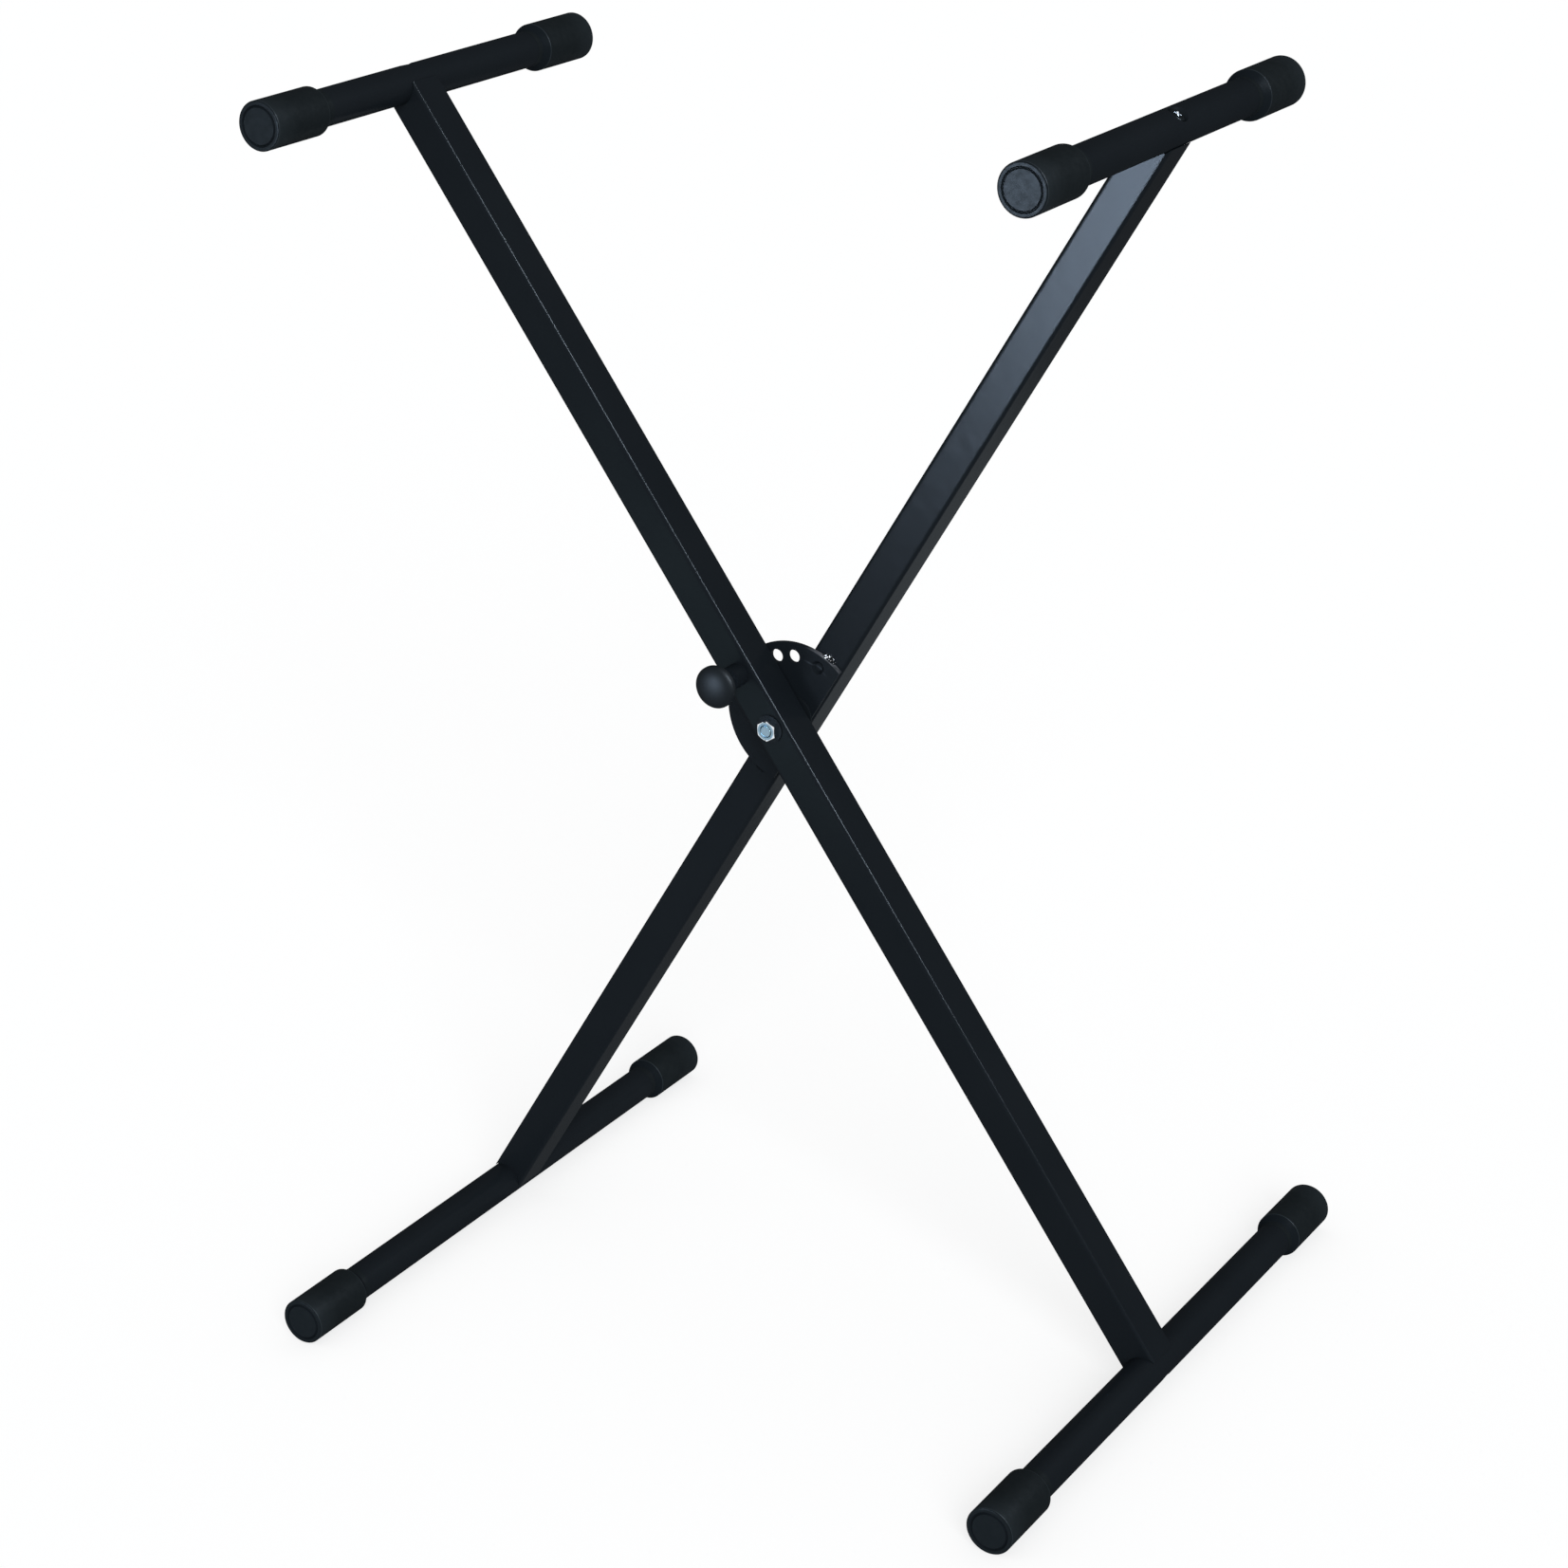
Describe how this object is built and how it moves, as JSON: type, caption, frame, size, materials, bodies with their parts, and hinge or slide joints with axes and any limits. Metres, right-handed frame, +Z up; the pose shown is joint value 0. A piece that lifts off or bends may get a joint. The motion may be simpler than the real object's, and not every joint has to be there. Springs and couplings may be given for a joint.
{
  "type": "keyboard stand",
  "caption": "Folding X-brace keyboard stand: crossed box-tube legs on a pivot bolt, round top rails and feet with rubber end caps, and a pull-knob lock pin.",
  "frame": {"origin": "centre of the bounding box at floor level, below the pivot", "axes": "+X across the fold, +Y along the rails from front to rear, +Z up"},
  "size_m": [0.5872, 0.4976, 0.868],
  "materials": {
    "leg_coat": "satin black powder coat",
    "rail_coat": "satin black powder coat",
    "plate_coat": "satin black powder coat",
    "weld_metal": "weld bead, thinly coated, bright in places",
    "cap_rubber": "matte moulded rubber",
    "knob_plastic": "semi-gloss black plastic",
    "spacer_nylon": "black nylon",
    "black_screw": "dark zinc, bright in the recess",
    "zinc_steel": "bright zinc plate"
  },
  "bodies": {
    "front_frame": {"front_foot_cap_far": "cap_rubber", "front_foot_cap_near": "cap_rubber", "front_foot_insert": "zinc_steel", "front_foot_rail": "rail_coat", "front_leg": "leg_coat", "front_pivot_sleeve": "zinc_steel", "front_pivot_washer": "zinc_steel", "front_rail_screws": "black_screw", "front_top_cap_far": "cap_rubber", "front_top_cap_near": "cap_rubber", "front_top_insert": "zinc_steel", "front_top_rail": "rail_coat", "lock_bush": "plate_coat", "lock_spring": "zinc_steel", "pivot_bolt": "zinc_steel", "pivot_nut": "zinc_steel", "pivot_spacer": "spacer_nylon", "rear_pivot_washer": "zinc_steel"},
    "rear_frame": {"rear_foot_cap_far": "cap_rubber", "rear_foot_cap_near": "cap_rubber", "rear_foot_insert": "zinc_steel", "rear_foot_rail": "rail_coat", "rear_leg": "leg_coat", "rear_pivot_sleeve": "zinc_steel", "rear_rail_screws": "black_screw", "rear_top_cap_far": "cap_rubber", "rear_top_cap_near": "cap_rubber", "rear_top_insert": "zinc_steel", "rear_top_rail": "rail_coat", "lock_plate": "plate_coat", "plate_welds": "weld_metal"},
    "lock_pin": {"lock_pin": "zinc_steel", "lock_knob": "knob_plastic"}
  },
  "joints": [
    {"name": "fold", "type": "hinge", "parent": "front_frame", "child": "rear_frame", "pos_m": [0, 0, 0.43703], "axis": [0, 1, 0], "range_deg": [-62.78, 36.4]},
    {"name": "lock_pull", "type": "slide", "parent": "front_frame", "child": "lock_pin", "axis": [0, 1, 0], "range_m": [0, 0.003], "stiffness_N_per_m": 600, "springref_m": 0.012}
  ]
}
